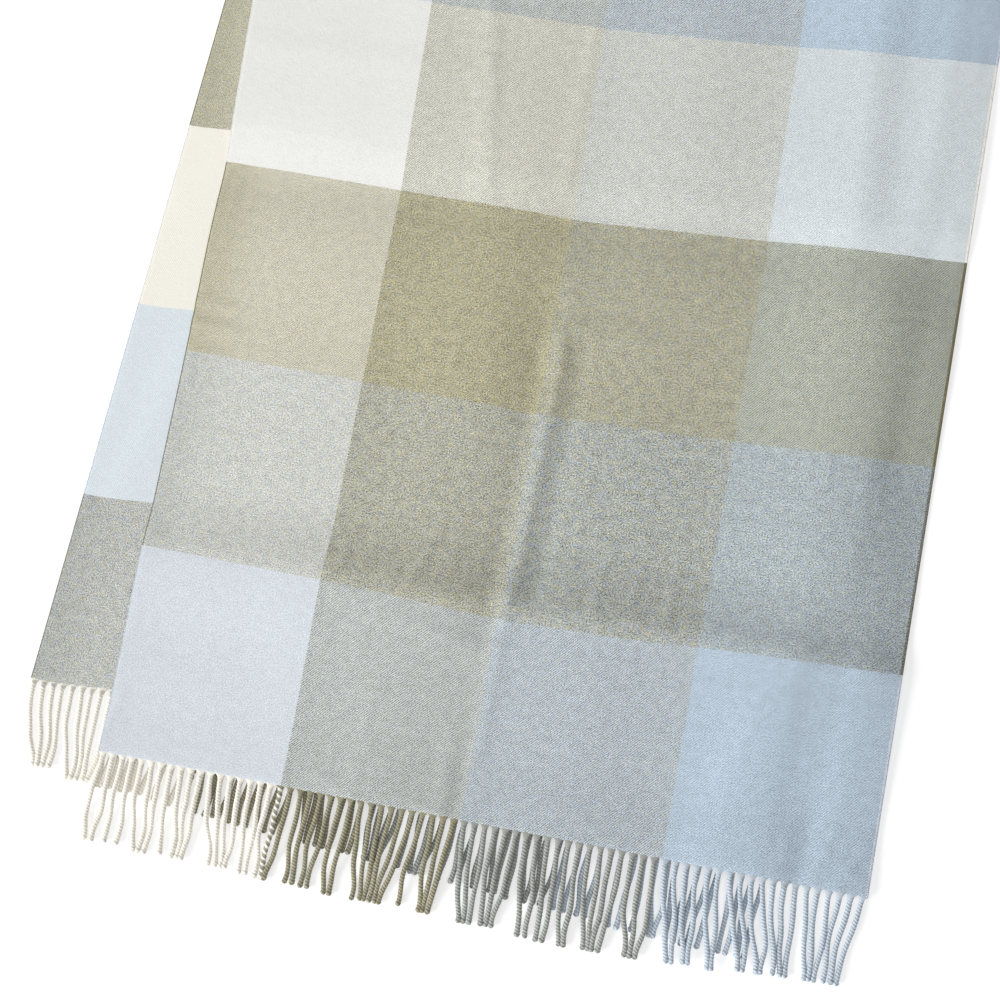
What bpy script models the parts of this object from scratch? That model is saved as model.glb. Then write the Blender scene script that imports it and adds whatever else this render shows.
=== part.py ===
"""Block-check woollen stole, laid flat and folded once across its length.

Metres, +Z up. The stole lies on the plane z = 0: its length runs along Y, with the
fold at +Y and both fringed ends at -Y. The upper layer lies square to the frame.
The lower layer shows past its left selvage and is turned a little clockwise.
Layer heights are worked out from the wall, so each piece rests on the one below.
"""
import math

import bmesh
import bpy
import numpy as np

COLLECTION_NAME = "tartan_blanket_scarf"

# The cloth.
WIDTH = 0.700            # selvage to selvage
LENGTH = 1.878           # hem to hem, ten checks of 0.1878
WALL = 0.0016
SEAM_GAP = 0.0003
FOLD_HOLLOW = 0.002      # clear height inside the turned edge

# The frame's origin is under the middle of the whole stole.
HEM_X = -0.3089          # upper layer's left hem corner
HEM_Y = -0.4393

# The lower layer, from the upper layer's left hem corner.
UNDER_X = -0.0819
UNDER_Y = 0.0545
UNDER_TURN = math.radians(3.9)
HEM_BOW = 0.0085         # its hem is drawn in by this much, past its left corner
HEM_BOW_TO = 0.100

# The turned edge bisects the two layers' directions.
FOLD_TURN = UNDER_TURN / 2
FOLD_LEFT_X = -0.0198
FOLD_LEFT_Y = (LENGTH + UNDER_Y) / 2
LEFT_DRIFT_FROM = 0.57   # the upper layer's selvages leave the straight here
RIGHT_DRIFT_FROM = 0.77

# The fringes.
STRANDS = 74             # at each end
STRAND_RADIUS = 0.0020
STRAND_CLEAR = 0.0003    # strands lie this far above what is below them
ROOT_RADIUS = 0.0006
STRIP = 0.0035           # woven strip that holds the strands' roots
NECK = 0.009             # a strand is round this far from its strip
STRAND_STATIONS = (0.0, 0.11, 0.32, 0.55, 0.78, 1.0)
UNDER_TIP_X = -0.050     # the line of the lower fringe's tips starts here
UNDER_TIP_Y = -0.025
UNDER_TIP_SLOPE = -0.072
TIP_CLEAR = 0.005        # upper strands keep their height this far past that line
TIP_FALL = 0.028         # and then come down to the floor
SWAY = 0.0012            # sideways bow of single strands
SEED = 11

# Heights that the upper layer's underside rests at.
ON_CLOTH = WALL + SEAM_GAP
ON_FRINGE = 2 * STRAND_RADIUS + 2 * STRAND_CLEAR
HEM_RAMP_FROM = 0.070    # ahead of the lower hem, up on to its fringe
HEM_RAMP_TO = 0.012
SIDE_RAMP = 0.024        # down to the floor beyond the lower layer
SIDE_CLEAR = 0.003
FOLD_RAMP = 0.060

# Creases of the upper layer, soft ridges that may be steeper on one side:
# (from_x, from_y, to_x, to_y, width on the left, width on the right, height).
CREASES = (
    (0.060, 0.189, 0.600, 0.189, 0.064, 0.150, 0.0050),
    (0.344, 0.060, 0.347, 0.200, 0.020, 0.016, 0.0012),
    (0.349, 0.215, 0.353, 0.430, 0.024, 0.015, 0.0032),
    (0.353, 0.430, 0.340, 0.900, 0.020, 0.015, 0.0013),
    (0.617, 0.310, 0.620, 0.540, 0.090, 0.080, 0.0036),
    (0.592, 0.125, 0.570, 0.020, 0.065, 0.045, 0.0030),
    (0.592, 0.590, 0.586, 0.800, 0.080, 0.040, 0.0028),
)

# Clumps of strands from left to right: (strands, tip_x, tip_spacing, reach), in mm.
UPPER_CLUMPS = (
    (2, 5.0, 8.0, 80), (2, 27.5, 11.0, 79), (3, 55.0, 5.5, 82), (1, 74.0, 0.0, 80),
    (3, 91.5, 4.6, 81), (4, 130.0, 5.2, 81), (2, 153.5, 4.8, 83), (3, 171.0, 4.7, 84),
    (2, 197.0, 6.0, 83), (2, 212.0, 4.7, 84), (2, 232.5, 5.0, 86), (1, 257.0, 0.0, 86),
    (5, 273.5, 4.6, 85), (1, 299.0, 0.0, 83), (3, 322.5, 4.7, 85), (3, 359.0, 4.6, 87),
    (3, 380.5, 4.6, 86), (2, 412.5, 6.5, 89), (2, 428.5, 5.2, 90), (2, 447.5, 5.0, 90),
    (4, 473.0, 4.6, 89), (3, 509.0, 4.8, 88), (2, 542.0, 4.7, 86), (2, 556.0, 4.7, 84),
    (2, 577.0, 4.7, 85), (2, 603.0, 6.0, 81), (2, 618.5, 4.7, 80), (3, 636.0, 4.7, 79),
    (3, 661.5, 4.7, 78), (3, 679.0, 5.0, 77),
)
UNDER_CLUMPS = (
    (4, 33.0, 5.5, 78), (5, 70.5, 5.2, 86), (2, 92.5, 4.7, 88), (2, 108.5, 9.0, 87),
    (2, 127.5, 12.0, 85), (1, 146.5, 0.0, 87), (2, 160.0, 4.7, 88), (1, 175.5, 0.0, 88),
    (2, 192.0, 8.5, 89), (2, 207.0, 7.0, 88), (3, 227.5, 8.0, 89), (3, 254.0, 9.0, 89),
    (2, 291.0, 5.0, 89), (3, 309.5, 5.5, 89), (2, 332.0, 5.0, 88), (4, 355.5, 4.7, 89),
    (1, 381.5, 0.0, 88), (3, 398.0, 4.8, 90), (1, 419.5, 0.0, 90), (2, 433.5, 6.0, 89),
    (1, 450.5, 0.0, 88), (2, 467.0, 5.0, 88), (1, 481.5, 0.0, 90), (2, 496.0, 5.0, 89),
    (2, 509.5, 6.0, 88), (2, 528.5, 9.5, 88), (2, 548.5, 8.0, 88), (1, 564.5, 0.0, 89),
    (2, 577.5, 6.0, 90), (1, 594.5, 0.0, 89), (2, 612.0, 4.7, 89), (2, 627.5, 6.5, 89),
    (2, 640.5, 4.7, 89), (1, 653.0, 0.0, 88), (2, 674.5, 6.0, 87), (2, 689.5, 6.0, 87),
)

# Plain finishes: (red, green, blue, roughness).
FINISHES = {
    "cloth_upper": (0.46, 0.48, 0.42, 0.9),
    "cloth_under": (0.50, 0.52, 0.46, 0.9),
    "cloth_fold": (0.48, 0.53, 0.54, 0.9),
    "fringe_upper": (0.42, 0.44, 0.38, 0.95),
    "fringe_under": (0.52, 0.50, 0.42, 0.95),
}


def smooth(value):
    """Smooth step from 0 to 1 as value goes from 0 to 1."""
    t = min(max(value, 0.0), 1.0)
    return t * t * (3 - 2 * t)


# ---------------------------------------------------------------- where the layers lie
# These work from the upper layer's left hem corner; to_frame() adds the origin.

def to_frame(x, y, z):
    """Point in the part's frame."""
    return (x + HEM_X, y + HEM_Y, z)


def fold_y(x):
    """The turned edge, at x."""
    return FOLD_LEFT_Y - (x - FOLD_LEFT_X) * math.tan(FOLD_TURN)


def hem_bow(across):
    """How far the lower layer's hem is drawn in, at a distance from its left selvage."""
    return HEM_BOW * smooth(across / HEM_BOW_TO)


def under_hem_y(x):
    """The lower layer's hem, at x."""
    return UNDER_Y + hem_bow(x - UNDER_X) - (x - UNDER_X) * math.tan(UNDER_TURN)


def under_right_x(y):
    """The lower layer's right selvage, at y."""
    along = (y - UNDER_Y + WIDTH * math.sin(UNDER_TURN)) / math.cos(UNDER_TURN)
    return UNDER_X + WIDTH * math.cos(UNDER_TURN) + max(along, 0.0) * math.sin(UNDER_TURN)


def under_point(across, along):
    """Place in the lower layer, from its left hem corner."""
    x = UNDER_X + across * math.cos(UNDER_TURN) + along * math.sin(UNDER_TURN)
    y = UNDER_Y - across * math.sin(UNDER_TURN) + along * math.cos(UNDER_TURN)
    return x, y


def under_hem_point(across, along):
    """Place in the lower layer or its fringe, from its hem."""
    return under_point(across, along + hem_bow(across))


def under_length(across):
    """Length of the lower layer, from its hem corner's level to the turned edge."""
    x, y = under_point(across, 0.0)
    climb = math.cos(UNDER_TURN) + math.tan(FOLD_TURN) * math.sin(UNDER_TURN)
    return (fold_y(x) - y) / climb


def upper_drift(across, along):
    """How far each selvage of the upper layer has drifted to the turned edge, 0 to 1."""
    end = fold_y(across + FOLD_LEFT_X)
    left = max(along - LEFT_DRIFT_FROM, 0.0) / (end - LEFT_DRIFT_FROM)
    right = max(along - RIGHT_DRIFT_FROM, 0.0) / (end - RIGHT_DRIFT_FROM)
    return left ** 1.15, right ** 1.3


def upper_point(across, along):
    """Place in the upper layer: both selvages drift left near the turned edge."""
    left, right = upper_drift(across, along)
    share = across / WIDTH
    return across + FOLD_LEFT_X * ((1 - share) * left + share * right), along


def crease_height(x, y):
    """Height of the upper layer's soft ridges."""
    total = 0.0
    for from_x, from_y, to_x, to_y, left_width, right_width, height in CREASES:
        run = math.hypot(to_x - from_x, to_y - from_y)
        ahead = ((x - from_x) * (to_x - from_x) + (y - from_y) * (to_y - from_y)) / run
        aside = ((x - from_x) * (to_y - from_y) - (y - from_y) * (to_x - from_x)) / run
        past = max(-ahead, ahead - run, 0.0)
        half_width = right_width if aside > 0 else left_width
        total += height * (1 - smooth(math.hypot(aside, past * 0.6) / half_width))
    return total


def side_drop(x, y):
    """How far a place has come down past the lower layer's right selvage, 0 to 1."""
    return smooth((x - under_right_x(y) - SIDE_CLEAR) / SIDE_RAMP)


def rest_height(x, y):
    """Height of the upper layer's underside where it rests."""
    hem = under_hem_y(x)
    lift = 1 - smooth((y - hem - HEM_RAMP_TO) / (HEM_RAMP_FROM - HEM_RAMP_TO))
    height = ON_CLOTH + (ON_FRINGE - ON_CLOTH) * lift
    height *= 1 - side_drop(x, y)
    to_fold = smooth((y - fold_y(x) + FOLD_RAMP) / FOLD_RAMP)
    return height + (FOLD_HOLLOW - SEAM_GAP) * to_fold


def upper_height(x, y):
    """Height of the upper layer's underside, creases and all."""
    return rest_height(x, y) + crease_height(x, y)


def upper_strip_height(x, y):
    """Underside of the upper fringe's strip, level with the hem."""
    return max(upper_height(x, 0.0), STRAND_CLEAR)


def upper_strand_height(x, y):
    """Underside of an upper strand: on the lower fringe, then down to the floor."""
    tips = UNDER_TIP_Y + UNDER_TIP_SLOPE * (x - UNDER_TIP_X)
    fall = smooth((tips - TIP_CLEAR - y) / TIP_FALL)
    raised = ON_FRINGE * (1 - fall) * (1 - side_drop(x, 0.0))
    return max(raised, STRAND_CLEAR)


def floor_height(x, y):
    """Underside of a lower strand and of its strip: just above the floor."""
    return STRAND_CLEAR


# ---------------------------------------------------------------- making objects

def link(obj):
    """Put an object in the part's collection."""
    bpy.data.collections[COLLECTION_NAME].objects.link(obj)
    return obj


def finish(obj):
    """Give an object its own plain material."""
    red, green, blue, roughness = FINISHES[obj.name]
    material = bpy.data.materials.new(obj.name)
    material.use_nodes = True
    shader = material.node_tree.nodes["Principled BSDF"]
    shader.inputs["Base Color"].default_value = (red, green, blue, 1)
    shader.inputs["Roughness"].default_value = roughness
    obj.data.materials.clear()
    obj.data.materials.append(material)
    obj.data.shade_smooth()
    obj.data.set_sharp_from_angle(angle=math.radians(40))
    return obj


def sheet_object(name, rows):
    """A sheet over rows of points on its lower or inner side, thickened outwards."""
    mesh = bpy.data.meshes.new(name)
    cage = bmesh.new()
    grid = [[cage.verts.new(point) for point in row] for row in rows]
    for lower, upper in zip(grid, grid[1:]):
        for i in range(len(lower) - 1):
            cage.faces.new((lower[i], lower[i + 1], upper[i + 1], upper[i]))
    cage.to_mesh(mesh)
    cage.free()
    obj = link(bpy.data.objects.new(name, mesh))
    solid = obj.modifiers.new("wall", "SOLIDIFY")
    solid.thickness = WALL
    solid.offset = 1.0
    solid.use_even_offset = True
    return obj


def spread(*spans):
    """Stations along a line: spans of (start, stop, parts), each met by the next."""
    stations = []
    for start, stop, parts in spans:
        stations += [start + (stop - start) * i / parts for i in range(parts)]
    return stations + [spans[-1][1]]


# ---------------------------------------------------------------- the pieces

UNDER_COLUMNS = spread((0.0, HEM_BOW_TO, 6), (HEM_BOW_TO, WIDTH, 6))


def upper_columns(along):
    """Stations across the upper layer; the last few follow the lower layer's selvage."""
    left, right = upper_drift(WIDTH, along)
    stretch = 1 + FOLD_LEFT_X * (right - left) / WIDTH
    edge = (under_right_x(along) + SIDE_CLEAR - FOLD_LEFT_X * left) / stretch
    edge = min(edge, WIDTH - SIDE_CLEAR)
    across = spread((0.0, 0.32, 9), (0.32, 0.38, 9), (0.38, edge, 8))
    return across + spread((edge, WIDTH, 4))[1:]


def build_upper():
    """The upper layer, from its hem to the turned edge."""
    rows = []
    shares = spread((0.0, 0.14, 11), (0.14, 0.28, 8), (0.28, 0.93, 14), (0.93, 1.0, 5))
    for share in shares:
        row = []
        for across in upper_columns(share * fold_y(0.3)):
            end = fold_y(across + FOLD_LEFT_X) - SEAM_GAP
            x, y = upper_point(across, share * end)
            row.append(to_frame(x, y, upper_height(x, y)))
        rows.append(row)
    return finish(sheet_object("cloth_upper", rows))


def build_under():
    """The lower layer, flat on the floor."""
    rows = []
    for share in spread((0.0, 1.0, 12)):
        row = []
        for across in UNDER_COLUMNS:
            start = hem_bow(across)
            end = under_length(across) - SEAM_GAP
            x, y = under_point(across, start + share * (end - start))
            row.append(to_frame(x, y, 0.0))
        rows.append(row)
    return finish(sheet_object("cloth_under", rows))


def build_fold():
    """The turned edge: half a round shell from the lower layer up to the upper one."""
    radius = FOLD_HOLLOW / 2
    rows = []
    for across in spread((0.0, 1.0, 10)):
        x = FOLD_LEFT_X + across * WIDTH * math.cos(FOLD_TURN)
        row = []
        for turn in spread((-90, 90, 8)):
            out = radius * math.cos(math.radians(turn))
            height = WALL + radius * (1 + math.sin(math.radians(turn)))
            place_x = x + out * math.sin(FOLD_TURN)
            place_y = fold_y(x) + out * math.cos(FOLD_TURN)
            row.append(to_frame(place_x, place_y, height))
        rows.append(row)
    return finish(sheet_object("cloth_fold", rows))


def strand_places(clumps):
    """Each strand's root, tip and reach across its hem, from the clumps' table."""
    places = []
    for strands, tip, spacing, reach in clumps:
        for i in range(strands):
            root = (len(places) + 0.5) * WIDTH / STRANDS
            at = tip + (i - (strands - 1) / 2) * spacing
            places.append((root, at / 1000, reach / 1000))
    return places


def strand_route(root, tip, reach, sway, place, strip_height, height):
    """A strand's (point, radius) stations, from inside its strip to its tip."""
    stations = []
    for share in STRAND_STATIONS:
        across = root + (tip - root) * smooth(share) + sway * math.sin(math.pi * share)
        along = -SEAM_GAP - STRIP / 2 - share * (reach - SEAM_GAP - STRIP / 2)
        x, y = place(across, along)
        grown = smooth(share * reach / NECK)
        root_z = strip_height(x, y) + WALL / 2
        z = root_z * (1 - grown) + (height(x, y) + STRAND_RADIUS) * grown
        radius = ROOT_RADIUS + (STRAND_RADIUS - ROOT_RADIUS) * grown
        stations.append((to_frame(x, y, z), radius))
    return stations


def strip_object(name, columns, place, strip_height):
    """The narrow strip along a hem, just off the cloth's edge."""
    rows = []
    for along in (-SEAM_GAP - STRIP, -SEAM_GAP):
        row = []
        for across in columns:
            x, y = place(across, along)
            row.append(to_frame(x, y, strip_height(x, y)))
        rows.append(row)
    return sheet_object(name, rows)


def build_fringe(name, clumps, columns, place, strip_height, height):
    """A fringe: its strands joined to one narrow strip along the hem."""
    curve = bpy.data.curves.new(name + "_strands", "CURVE")
    curve.dimensions = "3D"
    curve.bevel_depth = 1.0
    curve.bevel_resolution = 0
    curve.use_fill_caps = True
    draw = np.random.default_rng(SEED)
    for root, tip, reach in strand_places(clumps):
        sway = float(draw.uniform(-SWAY, SWAY))
        stations = strand_route(root, tip, reach, sway, place, strip_height, height)
        spline = curve.splines.new("POLY")
        spline.points.add(len(stations) - 1)
        for point, (place_at, radius) in zip(spline.points, stations):
            point.co = (*place_at, 1)
            point.radius = radius
    drawn = link(bpy.data.objects.new(name + "_strands", curve))
    strands = meshed(drawn, name + "_cords")
    strip = meshed(strip_object(name + "_strip", columns, place, strip_height), name)
    join = strip.modifiers.new("strands", "BOOLEAN")
    join.operation = "UNION"
    join.solver = "EXACT"
    join.object = strands
    fringe = meshed(strip, name)
    bpy.data.objects.remove(strands)
    return finish(fringe)


def meshed(obj, name):
    """Replace an object by its evaluated mesh, with loose caps welded."""
    depsgraph = bpy.context.evaluated_depsgraph_get()
    mesh = bpy.data.meshes.new_from_object(obj.evaluated_get(depsgraph))
    weld = bmesh.new()
    weld.from_mesh(mesh)
    bmesh.ops.remove_doubles(weld, verts=weld.verts, dist=0.000005)
    bmesh.ops.recalc_face_normals(weld, faces=weld.faces)
    weld.to_mesh(mesh)
    weld.free()
    world = obj.matrix_world.copy()
    bpy.data.objects.remove(obj)
    result = link(bpy.data.objects.new(name, mesh))
    result.name = name
    result.matrix_world = world
    return result


def main():
    """Model the whole stole."""
    for obj in list(bpy.data.objects):
        bpy.data.objects.remove(obj)
    collection = bpy.data.collections.new(COLLECTION_NAME)
    bpy.context.scene.collection.children.link(collection)
    build_under()
    build_upper()
    build_fold()
    build_fringe("fringe_under", UNDER_CLUMPS, UNDER_COLUMNS, under_hem_point,
                 floor_height, floor_height)
    build_fringe("fringe_upper", UPPER_CLUMPS, upper_columns(0.0), upper_point,
                 upper_strip_height, upper_strand_height)


main()
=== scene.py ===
"""Looks of the block-check woollen stole: woven cloth, twisted fringes, light and camera.

In metres, where a comment doesn't say mm, and in the part's frame. The cloth's own
coordinates are across, from its left selvage, and along, from the upper layer's hem over
the fold to the lower layer's hem.
"""
import math
from types import SimpleNamespace

import bpy
import numpy as np
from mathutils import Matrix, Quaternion, Vector


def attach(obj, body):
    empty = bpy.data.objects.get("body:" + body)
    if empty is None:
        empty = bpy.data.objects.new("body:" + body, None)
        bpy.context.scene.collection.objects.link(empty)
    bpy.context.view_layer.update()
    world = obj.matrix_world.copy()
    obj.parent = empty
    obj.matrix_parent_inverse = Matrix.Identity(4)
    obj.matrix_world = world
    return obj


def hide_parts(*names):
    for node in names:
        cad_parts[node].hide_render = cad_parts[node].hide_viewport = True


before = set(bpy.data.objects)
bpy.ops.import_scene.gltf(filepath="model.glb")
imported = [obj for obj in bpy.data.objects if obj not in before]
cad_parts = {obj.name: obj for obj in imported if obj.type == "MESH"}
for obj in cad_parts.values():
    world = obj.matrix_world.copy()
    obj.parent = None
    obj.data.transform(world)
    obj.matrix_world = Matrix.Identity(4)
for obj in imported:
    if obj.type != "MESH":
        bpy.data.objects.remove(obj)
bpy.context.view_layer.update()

# -------------------------------- sizes that the solids have
WIDTH = 0.700            # selvage to selvage
LENGTH = 1.878           # hem to hem
WALL = 0.0016
SEAM_GAP = 0.0003
FOLD_HOLLOW = 0.002      # clear height inside the turned edge
HEM_X = -0.3089          # the upper layer's left hem corner, from the frame's origin
HEM_Y = -0.4393
UNDER_X = -0.0819        # the lower layer's left hem corner, from the upper one's
UNDER_Y = 0.0545
UNDER_TURN = math.radians(3.9)
HEM_BOW = 0.0085         # the lower hem is drawn in by this much, past its left corner
HEM_BOW_TO = 0.100
FOLD_TURN = UNDER_TURN / 2
FOLD_LEFT_X = -0.0198
FOLD_LEFT_Y = (LENGTH + UNDER_Y) / 2
LEFT_DRIFT_FROM = 0.57   # the upper layer's selvages leave the straight here
RIGHT_DRIFT_FROM = 0.77
LEFT_DRIFT_POWER = 1.15
RIGHT_DRIFT_POWER = 1.3
STRANDS = 74             # at each end
STRAND_RADIUS = 0.0020
STRAND_CLEAR = 0.0003    # strands lie this far above what is below them
UNDER_TIP_X = -0.050     # the line of the lower fringe's tips starts here
UNDER_TIP_Y = -0.025
UNDER_TIP_SLOPE = -0.072
TIP_CLEAR = 0.005        # upper strands keep their height this far past that line
TIP_FALL = 0.028         # and then come down to the floor
SWAY = 0.0012            # sideways bow of single strands
SEED = 11
ON_CLOTH = WALL + SEAM_GAP
ON_FRINGE = 2 * STRAND_RADIUS + 2 * STRAND_CLEAR
HEM_RAMP_FROM = 0.070    # the upper layer climbs on to the lower fringe between these,
HEM_RAMP_TO = 0.012      # ahead of the lower hem
SIDE_RAMP = 0.024        # and comes down to the floor past the lower layer's right selvage
SIDE_CLEAR = 0.003
FOLD_RAMP = 0.060        # length of the rise to the turned edge

# Soft ridges in mm, (from_x, from_y, to_x, to_y, width on the left, width on the right,
# height in tenths of a mm).
CREASES = (
    (60, 189, 600, 189, 64, 150, 50), (344, 60, 347, 200, 20, 16, 12),
    (349, 215, 353, 430, 24, 15, 32), (353, 430, 340, 900, 20, 15, 13),
    (617, 310, 620, 540, 90, 80, 36), (592, 125, 570, 20, 65, 45, 30),
    (592, 590, 586, 800, 80, 40, 28),
)

# Clumps of strands from left to right: (strands, tip_x, tip_spacing, reach), in mm.
UPPER_CLUMPS = (
    (2, 5.0, 8.0, 80), (2, 27.5, 11.0, 79), (3, 55.0, 5.5, 82), (1, 74.0, 0.0, 80),
    (3, 91.5, 4.6, 81), (4, 130.0, 5.2, 81), (2, 153.5, 4.8, 83), (3, 171.0, 4.7, 84),
    (2, 197.0, 6.0, 83), (2, 212.0, 4.7, 84), (2, 232.5, 5.0, 86), (1, 257.0, 0.0, 86),
    (5, 273.5, 4.6, 85), (1, 299.0, 0.0, 83), (3, 322.5, 4.7, 85), (3, 359.0, 4.6, 87),
    (3, 380.5, 4.6, 86), (2, 412.5, 6.5, 89), (2, 428.5, 5.2, 90), (2, 447.5, 5.0, 90),
    (4, 473.0, 4.6, 89), (3, 509.0, 4.8, 88), (2, 542.0, 4.7, 86), (2, 556.0, 4.7, 84),
    (2, 577.0, 4.7, 85), (2, 603.0, 6.0, 81), (2, 618.5, 4.7, 80), (3, 636.0, 4.7, 79),
    (3, 661.5, 4.7, 78), (3, 679.0, 5.0, 77),
)
UNDER_CLUMPS = (
    (4, 33.0, 5.5, 78), (5, 70.5, 5.2, 86), (2, 92.5, 4.7, 88), (2, 108.5, 9.0, 87),
    (2, 127.5, 12.0, 85), (1, 146.5, 0.0, 87), (2, 160.0, 4.7, 88), (1, 175.5, 0.0, 88),
    (2, 192.0, 8.5, 89), (2, 207.0, 7.0, 88), (3, 227.5, 8.0, 89), (3, 254.0, 9.0, 89),
    (2, 291.0, 5.0, 89), (3, 309.5, 5.5, 89), (2, 332.0, 5.0, 88), (4, 355.5, 4.7, 89),
    (1, 381.5, 0.0, 88), (3, 398.0, 4.8, 90), (1, 419.5, 0.0, 90), (2, 433.5, 6.0, 89),
    (1, 450.5, 0.0, 88), (2, 467.0, 5.0, 88), (1, 481.5, 0.0, 90), (2, 496.0, 5.0, 89),
    (2, 509.5, 6.0, 88), (2, 528.5, 9.5, 88), (2, 548.5, 8.0, 88), (1, 564.5, 0.0, 89),
    (2, 577.5, 6.0, 90), (1, 594.5, 0.0, 89), (2, 612.0, 4.7, 89), (2, 627.5, 6.5, 89),
    (2, 640.5, 4.7, 89), (1, 653.0, 0.0, 88), (2, 674.5, 6.0, 87), (2, 689.5, 6.0, 87),
)

# -------------------------------- sizes of the finer form
GRID = 0.0039            # spacing of the cloth's points
EDGE_ROUND = 0.0012      # width of the rounded edge
EDGE_STEPS = (0.0, 0.00025, 0.0006, 0.0012)
SHARP_EDGE = math.radians(70)
FOLD_POINTS = 17         # points round the turned edge
GRID_AT = 0.3            # rows of the upper layer's points are spaced along this line
STEP_FROM = 0.262        # past its long ridge the upper layer comes down on to the lower one
STEP_TO = 0.192
STEP_HIGH = 0.0030
STEP_AT_LEFT = 0.45      # share of that step at the left selvage,
STEP_LEFT = (0.06, 0.14)     # which grows to all of it: (from, over)
STEP_RIGHT = (0.545, 0.095)  # and falls to none: (from, over)
LOOSE = 0.0006           # the upper layer lies this loosely
UNDER_LOOSE = 0.0002     # and the lower one this
END_STRETCH = 0.6        # a fold's ends run out more slowly than its sides
END_BLEND = 1.4          # past its end a fold's two sides blend into each other
NEAR_ZERO = 1e-6

# Slow uneven rise and fall of the upper layer: (waves in x, waves in y, phase, size).
SWELLS = (
    (31.0, 9.0, 0.4, 0.00018), (-17.0, 26.0, 1.9, 0.00016), (52.0, -38.0, 0.8, 0.00010),
    (9.0, 61.0, 2.7, 0.00008), (88.0, 21.0, 4.1, 0.00006), (-70.0, 74.0, 5.2, 0.00005),
)

# Finer folds of the upper layer, ridges and troughs, in the same columns as CREASES.
UPPER_FOLDS = (
    (266, 0, 268, 390, 85, 80, 34), (288, 425, 296, 560, 95, 58, 24),
    (268, 560, 258, 900, 80, 70, 12), (432, 0, 438, 760, 85, 85, 22),
    (60, 190, 660, 190, 34, 75, 14), (20, 500, 620, 500, 58, 110, 24),
    (0, 636, 660, 636, 150, 80, 28), (0, 560, 660, 562, 34, 34, -10),
    (200, 192, 690, 192, 26, 24, 11), (0, -12, 700, -12, 72, 40, 22),
    (280, 587, 700, 587, 30, 30, 6), (340, 205, 345, 450, 55, 14, -20),
    (318, 200, 321, 400, 60, 20, 15), (372, 205, 376, 420, 11, 11, -14),
    (338, 20, 340, 185, 16, 10, -9), (352, 450, 340, 900, 20, 15, -11),
    (330, 590, 330, 740, 13, 10, 8), (242, 10, 244, 100, 14, 12, 5),
    (322, 0, 321, 70, 14, 14, 9), (632, 205, 622, 0, 36, 22, -12),
    (674, -10, 674, 165, 50, 110, 21), (604, 590, 592, 900, 30, 30, 6),
    (652, 575, 662, 900, 18, 18, 8), (682, 575, 692, 900, 16, 14, 5),
    (258, 575, 232, 745, 22, 14, 12), (345, 453, 415, 457, 18, 30, 12),
    (-4, 411, 45, 406, 9, 11, 9), (-4, 433, 40, 429, 9, 9, 7), (0, 12, 12, 50, 8, 7, 5),
    (200, 178, 330, 150, 16, 14, 7), (188, 132, 232, 186, 10, 10, 6),
    (235, 205, 290, 245, 14, 12, 7), (440, 128, 524, 137, 7, 6, 4),
    (350, 150, 400, 158, 7, 6, 4), (205, 18, 245, 2, 8, 8, 6), (285, 12, 330, 0, 8, 8, 5),
    (660, 30, 690, 12, 6, 6, 4), (0, 688, 240, 690, 20, 26, 4),
    (80, 790, 300, 820, 22, 22, 9), (400, 850, 560, 835, 20, 20, 8),
    # Along the right selvage, past the long ridge, and small ones near the hem.
    (667, 385, 658, 575, 30, 32, -14), (652, 340, 668, 215, 36, 36, 13),
    (188, 200, 196, 240, 7, 6, 6), (212, 198, 222, 250, 9, 6, 5),
    (258, 196, 272, 250, 10, 8, 9), (398, 202, 400, 255, 8, 6, 5),
    (428, 200, 430, 262, 10, 6, 6), (460, 202, 462, 258, 9, 6, 5),
    (492, 202, 494, 262, 9, 7, 6), (218, 138, 252, 188, 12, 10, 10),
    (562, 85, 582, 125, 10, 8, 7), (650, 0, 664, 50, 8, 7, 7), (674, 0, 692, 45, 8, 7, 7),
)
# Folds of the lower layer, in its own across and along.
UNDER_FOLDS = (
    (30, 120, 60, 330, 30, 30, 7), (20, 480, 50, 520, 25, 25, 6),
    (35, 640, 30, 860, 26, 26, 7),
)

# -------------------------------- the weave
ENDS = 4 / 0.00236       # warp threads in a metre
PICKS = 4 / 0.00249      # weft threads in a metre
CHECK = 0.1878           # height of a row of checks
ROW_BOW = 0.0085         # rows rise towards both selvages
ROW_SAG = 0.005
BOW_FROM = 0.170         # all of that shows this far from the hem

# How far the upper layer's rows fall short of that, in mm: a row of the table for each of
# ROW_AT along the cloth, with a number for each of ROW_ACROSS.
ROW_AT = (0.0, 0.190, 0.380, 0.566, 0.755, 0.955)
ROW_ACROSS = (0.0, 0.13, 0.22, 0.35, 0.45, 0.55, 0.70)
ROW_LAGS = (
    (0.0, 0.0, 0.0, 0.0, 0.0, 0.0, 0.0),
    (1.3, 1.4, 2.5, 5.8, 6.5, 3.5, 2.3),
    (3.0, 3.0, 4.2, 5.4, 6.6, 7.0, 6.4),
    (-1.0, -0.3, 1.0, 2.5, 3.0, 2.0, 2.0),
    (2.0, 3.0, 5.0, 6.0, 8.0, 6.0, 5.5),
    (0.0, 0.0, 0.0, 0.0, 0.0, 0.0, 0.0),
)
UNDER_ROW = 0.1855       # rows are a little closer on the lower layer
UNDER_SHORT = 0.003      # and its last one is cut this much short

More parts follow.
